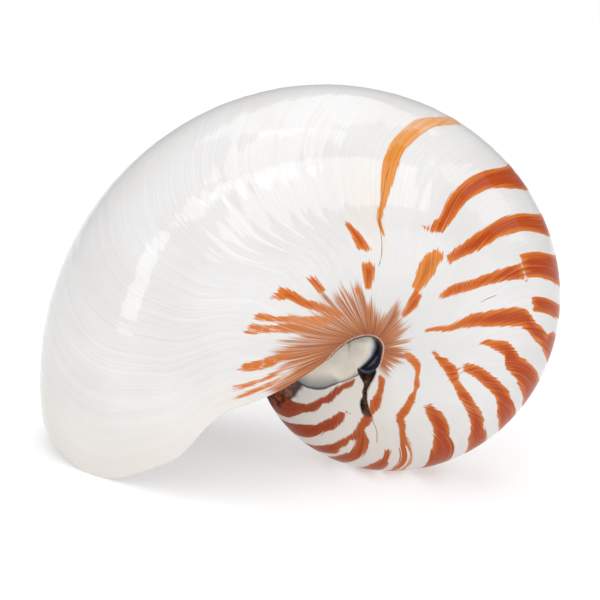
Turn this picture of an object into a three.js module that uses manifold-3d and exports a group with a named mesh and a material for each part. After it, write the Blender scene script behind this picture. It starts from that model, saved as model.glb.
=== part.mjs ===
// A chambered nautilus shell, grown as one piece. Millimetres, +Z up.
// The outside is a logarithmic spiral: the same cross-section, scaled up steadily as it turns about the
// coiling axis. The mid-plane of the shell is y = 0. It stands on the two crests of its lip and on its old
// whorl.

import * as THREE from 'three';
import { ParametricGeometry } from 'three/addons/geometries/ParametricGeometry.js';
import { mergeVertices } from 'three/addons/utils/BufferGeometryUtils.js';
import Module from 'manifold-3d';

// Growth. A growth angle counts degrees round the coil; a whole turn is 360 and the lip is the last of it.
const LIP_ANGLE = 565.7;        // growth angle of the lip's foremost point
const LIP_RADIUS = 114.7;       // coiling axis to the outer edge there
const EXPANSION = 2.935;        // how much larger the shell gets in one turn
const HALF_WIDTH = 0.37;        // half the shell's width, as a share of that radius
const WIDEST_AT = 0.38;         // where it is widest, as a share of that radius
const ROUNDNESS = 0.93;         // 1 is an ellipse, less is a little fuller

// Growth lines: how far each part of the edge lags behind the foremost part, in degrees.
const VENTER_SINUS = 11.5;      // the notch in the middle of the outer edge
const VENTER_SINUS_REACH = 57.5;
const EYE_SINUS = 9.3;          // the shallow notch on each flank
const UMBILICAL_LAG = 0.21;     // the strong sweep back close to the axis

// Umbilicus: the inner edge of the last whorl hooks round the axis, over a flat callus.
const HOOK_RADIUS = 4.3;
const HOOK_START = 262;         // growth angle where the old whorl comes out and the hook is wider
const HOOK_WIDENING = 5;
const HOOK_WIDENING_REACH = 45;
const HOOK_HEIGHT = 17;
const HOOK_RISE = 2.5;          // the hook climbs this much from the old whorl towards the lip
const HOOK_RISE_START = 275;
const HOOK_RISE_REACH = 185;
const FLARE_ANGLE = 553;        // close to the lip the edge flares away from the axis and the mid-plane
const FLARE_END = 560;
const FLARE_RADIUS = 12;
const FLARE_RADIUS_REACH = 28;
const FLARE_HEIGHT = 9;
const FLARE_HEIGHT_REACH = 18;
const FLOOR_HEIGHT = 15;        // mid-plane to the callus
const FLOOR_INSET = 1.2;
const FLOOR_DROP = 1.7;         // the callus sinks this much close to the lip
const FLOOR_DROP_START = 500;
const FLOOR_DROP_REACH = 49;

// Wall and body chamber
const WALL = 2.1;
const UMBILICAL_WALL = 3.2;
const SEPTUM_ANGLE = 436;       // growth angle of the last septum's rim
const SEPTUM_DEPTH = 9;         // degrees that the septum's middle lies behind its rim

// Surface steps
const SIDE_STEPS = 14;          // from the mid-plane to the umbilicus
const ANGLE_STEP = 7;           // degrees between sections
const WIDEST_SHARE = 0.62;      // share of the side steps that lie outside the widest place
const PART_STARTS = [7, 287, 413];   // growth angles where the three lengths of coil begin

const TURN = 360;
const RAD = Math.PI / 180;
const GROWTH = Math.log(EXPANSION) / TURN;

const wasm = await Module();
wasm.setup();

const clamp = THREE.MathUtils.clamp;
const smooth = THREE.MathUtils.smoothstep;

// Outer radius of the coil at an angle.
function radiusAt(angle) {
  return LIP_RADIUS * Math.exp(GROWTH * (angle - LIP_ANGLE));
}

// Radius of the umbilical edge. It is wide where the old whorl comes out and again close to the lip.
function hookRadius(angle) {
  const start = HOOK_WIDENING * Math.exp(-(((angle - HOOK_START) / HOOK_WIDENING_REACH) ** 2));
  const lip = FLARE_RADIUS * Math.exp((Math.min(angle, FLARE_END) - FLARE_ANGLE) / FLARE_RADIUS_REACH);
  return HOOK_RADIUS + start + lip;
}

// Distance of the umbilical edge from the mid-plane.
function hookHeight(angle) {
  const old = 0.96 * HALF_WIDTH * radiusAt(angle);
  const rise = HOOK_RISE * clamp((angle - HOOK_RISE_START) / HOOK_RISE_REACH, 0, 1);
  const lip = FLARE_HEIGHT * Math.exp((Math.min(angle, FLARE_END) - FLARE_ANGLE) / FLARE_HEIGHT_REACH);
  return Math.min(old, HOOK_HEIGHT + rise) + lip;
}

// Distance of the callus from the mid-plane, at the foot of the umbilical edge.
function floorHeight(angle) {
  const old = 0.9 * HALF_WIDTH * radiusAt(angle);
  const floor = FLOOR_HEIGHT - FLOOR_DROP * clamp((angle - FLOOR_DROP_START) / FLOOR_DROP_REACH, 0, 1);
  return Math.min(old, floor);
}

// Lag of a growth line at a place on the side. share is the place's radius as a share of the coil's.
function growthLag(share, slant) {
  const venter = slant < VENTER_SINUS_REACH ? (1 + Math.cos(Math.PI * slant / VENTER_SINUS_REACH)) / 2 : 0;
  const eye = 1 - smooth(share, 0.4, 0.62);
  return VENTER_SINUS * venter + EYE_SINUS * eye + UMBILICAL_LAG / Math.max(share, 0.06) ** 2;
}

// One side of the cross-section at an angle: side runs from 0 at the mid-plane to 1 at the umbilical edge.
function sidePoint(angle, side) {
  const radius = radiusAt(angle);
  const slant = clamp(side / WIDEST_SHARE, 0, 1) * 90;
  if (side <= WIDEST_SHARE) {
    const r = radius * (WIDEST_AT + (1 - WIDEST_AT) * Math.abs(Math.cos(slant * RAD)) ** ROUNDNESS);
    const y = radius * HALF_WIDTH * Math.sin(slant * RAD) ** ROUNDNESS;
    return { r, y, slant };
  }
  const inward = (side - WIDEST_SHARE) / (1 - WIDEST_SHARE);
  const widest = radius * WIDEST_AT;
  const r = widest + (hookRadius(angle) - widest) * inward;
  const y = radius * HALF_WIDTH - (radius * HALF_WIDTH - hookHeight(angle)) * inward ** 2;
  return { r, y, slant };
}

// The angle where the growth line that left the lip at `grown` crosses this part of the side.
function lineAngle(grown, side) {
  let angle = grown;
  for (let round = 0; round < 24; round += 1) {
    const { r, slant } = sidePoint(angle, side);
    angle = 0.5 * angle + 0.5 * (grown - growthLag(r / radiusAt(angle), slant));
  }
  return angle;
}

// The same place moved inwards by the wall's thickness, and kept clear of the umbilical wall.
function innerPoint(angle, side) {
  const step = 0.004;
  const before = sidePoint(angle, Math.max(side - step, 0));
  const after = sidePoint(angle, Math.min(side + step, 1));
  const here = sidePoint(angle, side);
  const along = new THREE.Vector2(after.r - before.r, side < step ? 1 : after.y - before.y);
  along.normalize();
  const r = side < step ? here.r - WALL : here.r - WALL * along.y;
  const y = side < step ? 0 : here.y + WALL * along.x;
  return { r: Math.max(r, hookRadius(angle) + UMBILICAL_WALL), y };
}

function place(r, y, angle, target) {
  return target.set(r * Math.cos(angle * RAD), y, r * Math.sin(angle * RAD));
}

// The section's points in order, from one umbilicus round the outer edge to the other.
const SIDES = [];
for (let i = -SIDE_STEPS; i <= SIDE_STEPS; i += 1) SIDES.push(i / SIDE_STEPS);

function outerSection(grown) {
  const edge = lineAngle(grown, 1);
  const foot = hookRadius(edge) - FLOOR_INSET;
  const points = [new THREE.Vector3(0, -FLOOR_HEIGHT, 0)];
  points.push(place(foot, -floorHeight(edge), edge, new THREE.Vector3()));
  for (const side of SIDES) {
    const angle = lineAngle(grown, Math.abs(side));
    const { r, y } = sidePoint(angle, Math.abs(side));
    points.push(place(r, Math.sign(side) * y, angle, new THREE.Vector3()));
  }
  points.push(place(foot, floorHeight(edge), edge, new THREE.Vector3()));
  points.push(new THREE.Vector3(0, FLOOR_HEIGHT, 0));
  return points;
}

function chamberSection(grown) {
  const edge = lineAngle(grown, 1);
  const foot = hookRadius(edge) + UMBILICAL_WALL;
  const points = [place(foot, -FLOOR_HEIGHT / 3, edge, new THREE.Vector3())];
  for (const side of SIDES) {
    const angle = lineAngle(grown, Math.abs(side));
    const { r, y } = innerPoint(angle, Math.abs(side));
    points.push(place(r, Math.sign(side) * y, angle, new THREE.Vector3()));
  }
  points.push(place(foot, FLOOR_HEIGHT / 3, edge, new THREE.Vector3()));
  return points;
}

function middleOf(points) {
  const sum = new THREE.Vector3();
  for (const point of points) sum.add(point);
  return sum.divideScalar(points.length);
}

// A closed skin through a list of sections, with a point in the middle of each end.
function loft(sections) {
  const count = sections[0].length;
  const ends = [middleOf(sections[0]), middleOf(sections[sections.length - 1])];
  const rows = sections.length + 1;
  const skin = (around, along, target) => {
    const row = Math.round(along * rows);
    const column = Math.round(around * count) % count;
    if (row === 0) target.copy(ends[0]);
    else if (row === rows) target.copy(ends[1]);
    else target.copy(sections[row - 1][column]);
  };
  return new ParametricGeometry(skin, count, rows);
}

// Joins a geometry's doubled points, drops the triangles that closed up, and makes a solid of it.
function toSolid(geometry) {
  geometry.deleteAttribute('normal');
  geometry.deleteAttribute('uv');
  const merged = mergeVertices(geometry, 1e-4);
  const index = merged.index.array;
  const kept = [];
  for (let i = 0; i < index.length; i += 3) {
    const [a, b, c] = [index[i], index[i + 1], index[i + 2]];
    if (a !== b && b !== c && c !== a) kept.push(a, b, c);
  }
  const vertProperties = new Float32Array(merged.attributes.position.array);
  const solidOf = (corners) => {
    const triVerts = new Uint32Array(corners);
    return new wasm.Manifold(new wasm.Mesh({ numProp: 3, vertProperties, triVerts }));
  };
  const forward = solidOf(kept);
  if (forward.volume() > 0) return forward;
  const turned = [];
  for (let i = 0; i < kept.length; i += 3) turned.push(kept[i], kept[i + 2], kept[i + 1]);
  return solidOf(turned);
}

function sectionsBetween(from, to, section) {
  const list = [];
  for (let grown = from; grown < to - 1; grown += ANGLE_STEP) list.push(section(grown));
  list.push(section(to));
  return list;
}

// The body chamber: the living animal's room, from the last septum out past the lip. The septum is a bowl, so
// the first sections shrink towards its middle and lie further back.
function bodyChamber() {
  const rim = chamberSection(SEPTUM_ANGLE);
  const sections = [];
  for (let i = 1; i < 5; i += 1) {
    const opening = Math.sin(i / 5 * Math.PI / 2);
    const back = chamberSection(SEPTUM_ANGLE - SEPTUM_DEPTH * Math.sqrt(1 - opening ** 2));
    const middle = middleOf(back);
    sections.push(back.map((point) => point.clone().lerp(middle, 1 - opening)));
  }
  sections.push(rim);
  sections.push(...sectionsBetween(SEPTUM_ANGLE + ANGLE_STEP, LIP_ANGLE + 2 * ANGLE_STEP, chamberSection));
  return toSolid(loft(sections));
}

// The coil is made in three lengths of less than a turn, so that no length meets itself.
function shellSolid() {
  const [oldStart, middleStart, lastStart] = PART_STARTS;
  const lastPart = toSolid(loft(sectionsBetween(lastStart, LIP_ANGLE, outerSection)));
  const middlePart = toSolid(loft(sectionsBetween(middleStart, lastStart + ANGLE_STEP, outerSection)));
  const oldPart = toSolid(loft(sectionsBetween(oldStart, middleStart + ANGLE_STEP, outerSection)));
  return lastPart.add(middlePart).subtract(bodyChamber()).add(oldPart);
}

function toGeometry(solid) {
  const mesh = solid.getMesh();
  const geometry = new THREE.BufferGeometry();
  const stride = mesh.numProp;
  const points = new Float32Array(mesh.vertProperties.length / stride * 3);
  for (let i = 0; i < points.length / 3; i += 1) {
    for (let k = 0; k < 3; k += 1) points[3 * i + k] = mesh.vertProperties[stride * i + k];
  }
  geometry.setAttribute('position', new THREE.BufferAttribute(points, 3));
  geometry.setIndex(new THREE.BufferAttribute(new Uint32Array(mesh.triVerts), 1));
  return geometry;
}

// Lowest point of the lip side and of the old whorl side after the shell is pitched about y.
function footHeights(geometry, pitch) {
  const position = geometry.attributes.position;
  let lip = Infinity;
  let whorl = Infinity;
  for (let i = 0; i < position.count; i += 1) {
    const x = position.getX(i);
    const z = position.getZ(i);
    const height = z * Math.cos(pitch) - x * Math.sin(pitch);
    if (x < -0.4 * LIP_RADIUS) lip = Math.min(lip, height);
    else whorl = Math.min(whorl, height);
  }
  return { lip, whorl };
}

// The pitch that puts lip and old whorl on one level.
function restingPitch(geometry) {
  let low = -30 * RAD;
  let high = 30 * RAD;
  for (let round = 0; round < 40; round += 1) {
    const pitch = (low + high) / 2;
    const { lip, whorl } = footHeights(geometry, pitch);
    if (lip > whorl) high = pitch;
    else low = pitch;
  }
  return (low + high) / 2;
}

const pearl = new THREE.MeshStandardMaterial({ color: 0xe9e4df, roughness: 0.32, metalness: 0 });

const shell = new THREE.Mesh(toGeometry(shellSolid()), pearl);
shell.name = 'nautilus_shell';
shell.rotation.y = restingPitch(shell.geometry);
shell.updateMatrixWorld();

// The origin is the middle of the bottom of the box round the standing shell.
const box = new THREE.Box3().setFromObject(shell, true);
const middle = box.getCenter(new THREE.Vector3());
shell.position.set(-middle.x, -middle.y, -box.min.z);

const group = new THREE.Group();
group.add(shell);

export default group;
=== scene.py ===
# %% [markdown]
# # A chambered nautilus shell
# The shell is one continuous wall, coiled flat like a watch spring that widens as it grows. It is rebuilt
# here as one skin worked out by Geometry Nodes, because every point of it follows one rule: the same
# cross-section, turned about the coiling axis and scaled up by a fixed share for every degree of turn. The
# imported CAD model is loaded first, so that the skin lands where the CAD shell stands.

# %% Load the frame
import math

import bpy
import numpy as np
from mathutils import Matrix, Vector


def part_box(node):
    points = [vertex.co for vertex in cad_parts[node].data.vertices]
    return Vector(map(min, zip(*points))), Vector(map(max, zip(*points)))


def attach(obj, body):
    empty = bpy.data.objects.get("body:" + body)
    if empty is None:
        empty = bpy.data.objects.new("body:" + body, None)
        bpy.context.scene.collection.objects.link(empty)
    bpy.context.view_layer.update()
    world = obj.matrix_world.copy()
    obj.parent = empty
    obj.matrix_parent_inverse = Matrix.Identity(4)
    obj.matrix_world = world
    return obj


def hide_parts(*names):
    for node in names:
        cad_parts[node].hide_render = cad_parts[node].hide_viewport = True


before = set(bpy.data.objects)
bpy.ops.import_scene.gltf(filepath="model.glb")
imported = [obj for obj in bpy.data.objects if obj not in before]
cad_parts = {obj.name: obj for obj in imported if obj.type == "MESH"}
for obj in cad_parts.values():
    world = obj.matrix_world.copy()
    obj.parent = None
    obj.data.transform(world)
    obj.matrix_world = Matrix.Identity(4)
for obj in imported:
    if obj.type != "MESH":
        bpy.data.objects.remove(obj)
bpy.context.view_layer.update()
MM = 0.001
low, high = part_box("nautilus_shell")
print("CAD shell from", [round(c, 4) for c in low], "to", [round(c, 4) for c in high])

# %% [markdown]
# ## The rule of the coil
# Places on the shell are told by two numbers. The growth angle says how far round the coil the lip stood
# when that bit of wall was laid down, in degrees, and it ends at the lip. The side runs from 0 on the outer
# edge to 1 at the umbilicus, the dimple at the coiling axis, and is negative on the near flank. Growth
# lines are lines of one growth angle, so a stripe or a ridge that follows them is a function of these two
# numbers.

# %% Sizes of the coil
LIP_ANGLE = 565.7            # growth angle of the lip
LIP_RADIUS = 114.7 * MM      # coiling axis to the outer edge, there
EXPANSION = 2.935            # growth in size for one turn
HALF_WIDTH = 0.37            # half the width, as a share of the radius
WIDEST_AT = 0.38             # radius of the widest place, as a share of the radius
WIDEST_SIDE = 0.62           # the side number of the widest place
ROUNDNESS = 0.93             # 1 is an ellipse, less is fuller
WALL = 2.1 * MM
LIP_WALL = 1.1 * MM
SEPTUM_ANGLE = 436           # growth angle of the wall that closes the body chamber
OLD_START = 30               # growth angle where the oldest modelled part begins, hidden inside
SHOWN_START = 196            # growth angle where the old whorl comes out from under the lip

# The shell stands on its lip and its old whorl, which tips the coil a little. The axis lies this far in
# from the back of the CAD box and this far above the floor.
PITCH = math.radians(-5.71)
AXIS = Vector((high.x - 61.795 * MM, 0, low.z + 47.238 * MM))
print("the coiling axis is at", [round(c, 4) for c in AXIS])

# %% [markdown]
# ## Writing nodes as sums
# A node tree is easier to read as a sum than as a list of links. `Wire` holds one socket, and adding or
# multiplying wires adds the Math nodes. Every other node comes from `node`, which sets the node's own
# settings first and then its sockets.

# %% A wire and a way to add nodes
def node(tree, kind, settings=None, inputs=None, out=0):
    """Adds a node. settings are its own options, and inputs its sockets by name or number."""
    made = tree.nodes.new(kind)
    for name, value in (settings or {}).items():
        setattr(made, name, value)
    for name, value in (inputs or {}).items():
        plug(tree, made.inputs[name], value)
    return Wire(tree, made.outputs[out])


def plug(tree, socket, value):
    """Links a wire to a socket, or sets the socket's own value."""
    if isinstance(value, Wire):
        tree.links.new(value.socket, socket)
    else:
        socket.default_value = value


class Wire:
    """One value on its way through a node tree."""

    def __init__(self, tree, socket):
        self.tree = tree
        self.socket = socket

    def other(self, out):
        """Another output of the node that this wire leaves."""
        return Wire(self.tree, self.socket.node.outputs[out])

    def math(self, operation, *values, first=None):
        sockets = [self if first is None else first, *values]
        return node(self.tree, "ShaderNodeMath", {"operation": operation}, dict(enumerate(sockets)))

    def __add__(self, value):
        return self.math("ADD", value)

    def __radd__(self, value):
        return self.math("ADD", value)

    def __sub__(self, value):
        return self.math("SUBTRACT", value)

    def __rsub__(self, value):
        return self.math("SUBTRACT", self, first=value)

    def __mul__(self, value):
        return self.math("MULTIPLY", value)

    def __rmul__(self, value):
        return self.math("MULTIPLY", value)

    def __truediv__(self, value):
        return self.math("DIVIDE", value)

    def __rtruediv__(self, value):
        return self.math("DIVIDE", self, first=value)

    def __pow__(self, value):
        return self.math("POWER", value)

    def __neg__(self):
        return self.math("MULTIPLY", -1.0)

    def __abs__(self):
        return self.math("ABSOLUTE")

    def at_least(self, value):
        return self.math("MAXIMUM", value)

    def at_most(self, value):
        return self.math("MINIMUM", value)

    def between(self, bottom, top):
        """Where the value stands between bottom and top, as 0 to 1 with soft ends."""
        return self.range(bottom, top, "SMOOTHSTEP")

    def range(self, bottom, top, how="LINEAR", to=(0.0, 1.0)):
        inputs = {"Value": self, "From Min": bottom, "From Max": top, "To Min": to[0], "To Max": to[1]}
        return node(self.tree, "ShaderNodeMapRange", {"interpolation_type": how, "clamp": True}, inputs)


print("nodes are ready to be written as sums")

# %% Vectors, noise and falling curves
def vector(tree, x, y, z):
    return node(tree, "ShaderNodeCombineXYZ", None, {"X": x, "Y": y, "Z": z})


def vector_math(operation, first, *values, out=0):
    inputs = {0: first, "Scale": values[0]} if operation == "SCALE" else dict(enumerate([first, *values]))
    return node(first.tree, "ShaderNodeVectorMath", {"operation": operation}, inputs, out)


def blend(share, first, second):
    """The place that lies this share of the way from the second place to the first."""
    return vector_math("ADD", vector_math("SCALE", first, share), vector_math("SCALE", second, 1.0 - share))


def noise(tree, place, scale=1.0, detail=3.0, roughness=0.55, distortion=0.0):
    inputs = {"Vector": place, "Scale": scale, "Detail": detail, "Roughness": roughness,
              "Distortion": distortion}
    return node(tree, "ShaderNodeTexNoise", {"noise_dimensions": "3D"}, inputs)


def e_to(wire):
    """e to the power of a wire."""
    return wire.math("EXPONENT")


def bell(wire, middle, reach):
    """A bell curve: 1 at the middle and close to 0 at twice the reach on either side."""
    offset = (wire - middle) / reach
    return e_to(-(offset * offset))


print("noise and curves are ready")

# %% Node groups with named inputs
FLOAT = "NodeSocketFloat"
VECTOR = "NodeSocketVector"
GEOMETRY = "NodeSocketGeometry"


def new_group(name, inputs, outputs):
    """A geometry node group with named inputs and outputs. Returns the tree and its input wires by name."""
    tree = bpy.data.node_groups.new(name, "GeometryNodeTree")
    for label, kind in inputs:
        tree.interface.new_socket(label, in_out="INPUT", socket_type=kind)
    for label, kind in outputs:
        tree.interface.new_socket(label, in_out="OUTPUT", socket_type=kind)
    source = tree.nodes.new("NodeGroupInput")
    return tree, {label: Wire(tree, source.outputs[label]) for label, _ in inputs}


def finish_group(tree, outputs):
    sink = tree.nodes.new("NodeGroupOutput")
    for label, value in outputs.items():
        plug(tree, sink.inputs[label], value)


print("groups take", FLOAT, VECTOR, "and", GEOMETRY)

# %% [markdown]
# ## One point of the shell
# The rule goes in a node group of its own. It takes a growth angle, a side and an inset into the wall, and
# gives back a place. The hooked edge round the umbilicus comes first. It keeps close to the axis, but
# swings wide where the old whorl comes out from under it, and again close to the lip, where it also flares
# sideways.

# %% The umbilical edge
HOOK_RADIUS = 4.3 * MM
HOOK_WIDENING = 5.0 * MM     # it widens this much at the growth angle below, over the reach after it
HOOK_WIDENING_AT = 262.0
HOOK_WIDENING_REACH = 45.0
HOOK_HEIGHT = 17.0 * MM      # from the middle plane
HOOK_RISE = 2.5 * MM         # it rises this much from the growth angle below, over the reach after it
HOOK_RISE_START = 275.0
HOOK_RISE_REACH = 185.0
HOOK_HEIGHT_LIMIT = 0.96     # and is never higher than this share of the half width
FLARE_ANGLE = 553.0          # the flare at the lip has the sizes below here, and grows on until its end
FLARE_END = 560.0
FLARE_RADIUS = 12.0 * MM
FLARE_RADIUS_REACH = 28.0
FLARE_HEIGHT = 9.0 * MM
FLARE_HEIGHT_REACH = 18.0


def flare(angle, reach):
    return e_to((angle.at_most(FLARE_END) - FLARE_ANGLE) / reach)


def hook_radius(angle):
    """Radius of the umbilical edge."""
    widening = HOOK_WIDENING * bell(angle, HOOK_WIDENING_AT, HOOK_WIDENING_REACH)
    return widening + FLARE_RADIUS * flare(angle, FLARE_RADIUS_REACH) + HOOK_RADIUS


def hook_height(angle, radius):
    """Distance of the umbilical edge from the middle plane."""
    rise = (angle - HOOK_RISE_START) / HOOK_RISE_REACH * HOOK_RISE
    level = rise.at_least(0.0).at_most(HOOK_RISE) + HOOK_HEIGHT
    level = level.at_most(radius * (HOOK_HEIGHT_LIMIT * HALF_WIDTH))
    return level + FLARE_HEIGHT * flare(angle, FLARE_HEIGHT_REACH)


print("the umbilical edge is", round(HOOK_RADIUS / MM, 1), "mm from the axis or more")

# %% [markdown]
# The growth lines lag behind the outer edge's angle in three places. The lip has a notch in the middle of
# its outer edge, where the animal's funnel looks out, and a shallow bay on each flank for the eye. Close to
# the umbilicus the lines bend back sharply. Past side 1 the section rolls over the umbilical edge, drops
# down the umbilical wall and closes across the middle plane, out of sight, so that the skin is one closed
# surface.

# %% One point, as a node group
FUNNEL_LAG = 11.5            # degrees
FUNNEL_EDGE = 57.5 / 90      # how far the notch reaches, as a share of the way to the widest place
EYE_LAG = 9.3
EYE_EDGES = (0.40, 0.62)     # the bay's inner and outer edge, as shares of the radius
UMBILICUS_LAG = 0.21
UMBILICUS_SHARE = 0.14       # where that lag is taken for the umbilical edge
EDGE_ROLL = 1.4 * MM         # the rolled edge hangs over by this much
EDGE_INSET = 1.2             # the wall is this much thicker at the umbilical edge
FOOT_HEIGHT = 13.0 * MM      # the umbilical wall ends at this distance from the middle plane
FOOT_LIMIT = 0.85            # and never farther than this share of the half width
OUTER_SKIN = 0.5 * MM        # an inset less than this belongs to the outside


def lag_of(outward, reach, inward):
    """How far the growth lines lag behind, in degrees."""
    share = reach * (1 - WIDEST_AT) + inward * (UMBILICUS_SHARE - WIDEST_AT) + WIDEST_AT
    funnel = ((outward * (1 / FUNNEL_EDGE)).at_most(1.0) * math.pi).math("COSINE") * 0.5 + 0.5
    eye = 1.0 - share.between(*EYE_EDGES)
    return funnel * FUNNEL_LAG + eye * EYE_LAG + UMBILICUS_LAG / (share * share)


def build_point_group():
    tree, wires = new_group(
        "Shell point",
        [("Growth", FLOAT), ("Side", FLOAT), ("Inset", FLOAT), ("Lip radius", FLOAT), ("Expansion", FLOAT)],
        [("Place", VECTOR)],
    )
    side = abs(wires["Side"])
    outward = (side / WIDEST_SIDE).at_most(1.0)
    inward = ((side - WIDEST_SIDE) / (1 - WIDEST_SIDE)).at_least(0.0).at_most(1.0)
    slant = outward * (math.pi / 2)
    reach = slant.math("COSINE").at_least(0.0) ** ROUNDNESS
    breadth = slant.math("SINE").at_least(0.0) ** ROUNDNESS
    angle = wires["Growth"] - lag_of(outward, reach, inward)
    radius = wires["Lip radius"] * wires["Expansion"] ** ((angle - LIP_ANGLE) / 360.0)
    # the section, with its wall's inset
    widest = radius * WIDEST_AT
    inset = wires["Inset"]
    edge = hook_radius(angle) + inset * EDGE_INSET
    height = hook_height(angle, radius) - inset
    half = radius * HALF_WIDTH - inset
    out = widest + (radius * (1 - WIDEST_AT) - inset) * reach + (edge - widest) * inward
    away = half * breadth - (half - height) * inward * inward
    # beyond side 1 the edge rolls over, drops down the umbilical wall and then closes across the middle plane
    beyond = (side - 1.0).at_least(0.0)
    roll = (beyond * math.pi).at_most(math.pi / 2)
    is_outside = 1.0 - (inset / OUTER_SKIN).at_most(1.0)
    out = out - roll.math("SINE") * is_outside * EDGE_ROLL
    foot = (radius * (FOOT_LIMIT * HALF_WIDTH)).at_most(FOOT_HEIGHT)
    drop = 1.0 - roll.math("COSINE")
    away = away - (away - foot) * drop
    away = away * (1.0 - ((beyond - 0.5) * 2.0).at_least(0.0))
    away = away * wires["Side"].math("SIGN")
    turn = angle * (math.pi / 180)
    place = vector(tree, out * turn.math("COSINE"), away, out * turn.math("SINE"))
    finish_group(tree, {"Place": place})
    print(len(tree.nodes), "nodes work out one point of the shell")
    return tree


POINT = build_point_group()

# %% [markdown]
# ## The skin
# The skin is laid out in patches, each a plain grid bent into place by the rule above: the outside, the
# rolled lip, the inside of the body chamber and the bowl of the last septum. All patches have the same
# number of columns, so their borders meet point for point and merge into one closed surface. Every point
# keeps its growth angle and side as attributes, because the paint is worked out from them later.

# %% Grids that become patches
COLUMNS = 153
SIDE_REACH = 2.0             # sides run past 1, over the umbilical edge and down to the middle plane
SHOWN_COLUMNS = 0.93         # this share of the columns lies on the sides up to 1


def grid(tree, rows, columns=COLUMNS):
    """A grid of rows by columns with its own row and column shares, from 0 to 1, as wires."""
    inputs = {"Size X": 1.0, "Size Y": 1.0, "Vertices X": rows, "Vertices Y": columns}
    sheet = node(tree, "GeometryNodeMeshGrid", None, inputs)
    spot = node(tree, "GeometryNodeInputPosition")
    parts = node(tree, "ShaderNodeSeparateXYZ", None, {"Vector": spot})
    return sheet, parts + 0.5, parts.other(1) + 0.5


def side_of(column):
    """The side number of a column: close together on the flanks, a few past the umbilical edges."""
    signed = column * 2.0 - 1.0
    size = abs(signed)
    shown = size.range(0.0, SHOWN_COLUMNS)
    hidden = size.range(SHOWN_COLUMNS, 1.0) * (SIDE_REACH - 1.0)
    return (shown + hidden) * signed.math("SIGN")


def store(geometry, name, value):
    inputs = {"Geometry": geometry, "Name": name, "Value": value}
    settings = {"data_type": "FLOAT", "domain": "POINT"}
    return node(geometry.tree, "GeometryNodeStoreNamedAttribute", settings, inputs)


def point(tree, sizes, growth, side, inset):
    inputs = {"Growth": growth, "Side": side, "Inset": inset}
    inputs.update(sizes)
    return node(tree, "GeometryNodeGroup", {"node_tree": POINT}, inputs)


def patch(tree, sheet, place, growth, side, lining):
    """Bends a grid into place and notes each point's growth angle, side and whether it is lining."""
    for name, value in (("growth", growth), ("side", side), ("lining", lining)):
        sheet = store(sheet, name, value)
    return node(tree, "GeometryNodeSetPosition", None, {"Geometry": sheet, "Position": place})


print("each patch has", COLUMNS, "columns")

# %% [markdown]
# The outside is two patches, coarse where it lies hidden inside the last whorl and fine where it shows.
# Rows are spaced evenly along the coil and not evenly in angle, because a degree near the lip is three
# times as long as a degree on the old whorl. The growth lines are real relief: low swells with finer ridges
# on them.

# %% The outside, with its growth lines
OUTSIDE_ROWS = 436
HIDDEN_ROWS = 64
SWELL_HEIGHT = 0.45 * MM     # from the lowest to the highest
RIDGE_HEIGHT = 0.16 * MM
SMOOTH_LIP = 3.0             # degrees over which the relief fades out at the lip's edge
OLD_RELIEF = 0.35            # share of the relief on the old whorl
CHILD_GROWTH, ADULT_GROWTH = 350.0, 460.0    # between these growth angles the relief grows to its full height


def growth_relief(tree, growth, side, relief):
    """Height of the growth lines."""
    swell = noise(tree, vector(tree, growth * 0.32, side * 1.6, 0.0), 1.0, 1.0, 0.5)
    ridge = noise(tree, vector(tree, growth * 1.1, side * 1.2, 4.0), 1.0, 1.0, 0.5)
    height = (swell - 0.5) * SWELL_HEIGHT + (ridge - 0.5) * RIDGE_HEIGHT
    height = height * growth.range(LIP_ANGLE, LIP_ANGLE - SMOOTH_LIP)
    return height * growth.range(CHILD_GROWTH, ADULT_GROWTH, to=(OLD_RELIEF, 1.0)) * relief


def outside_patch(tree, sizes, relief, rows, start, end, closed_start):
    sheet, row, column = grid(tree, rows)
    side = side_of(column)
    pull = math.log(EXPANSION) / 360.0
    stretch = math.exp(pull * (end - start)) - 1.0
    growth = (row * stretch + 1.0).math("LOGARITHM", math.e) / pull + start
    place = point(tree, sizes, growth, side, -growth_relief(tree, growth, side, relief))
    if closed_start:
        # the oldest row shrinks to a point, out of sight inside the shell
        middle = vector_math("SCALE", point(tree, sizes, growth, 0.0, 0.0), 0.5)
        share = (row * (rows - 1.0)).at_most(1.0)
        place = blend(share, place, middle)
    return patch(tree, sheet, place, growth, side, 0.0)


print("the outside has", OUTSIDE_ROWS, "rows that show")

# %% The rounded lip
LIP_ROWS = 7


def lip_patch(tree, sizes):
    sheet, row, column = grid(tree, LIP_ROWS)
    side = side_of(column)
    outer = point(tree, sizes, LIP_ANGLE, side, 0.0)
    inner = point(tree, sizes, LIP_ANGLE, side, LIP_WALL)
    ahead = point(tree, sizes, LIP_ANGLE + 1.0, side, 0.0)
    forward = vector_math("NORMALIZE", vector_math("SUBTRACT", ahead, outer))
    across = vector_math("SCALE", vector_math("SUBTRACT", outer, inner), 0.5)
    middle = vector_math("ADD", inner, across)
    half_turn = row * math.pi
    span = vector_math("LENGTH", across, out=1).at_most(LIP_WALL * 0.8)
    place = vector_math("ADD", middle, vector_math("SCALE", across, half_turn.math("COSINE")))
    place = vector_math("ADD", place, vector_math("SCALE", forward, half_turn.math("SINE") * span))
    return patch(tree, sheet, place, LIP_ANGLE, side, row)


print("the lip is rounded over", LIP_ROWS, "rows")

# %% [markdown]
# Inside, the wall is thin at the lip and reaches its full thickness a few centimetres behind it. The body
# chamber ends at the last septum, a bowl that bulges away from the lip. In its middle is the opening of the
# siphuncle, the small tube that ran through all the chambers.

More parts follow.
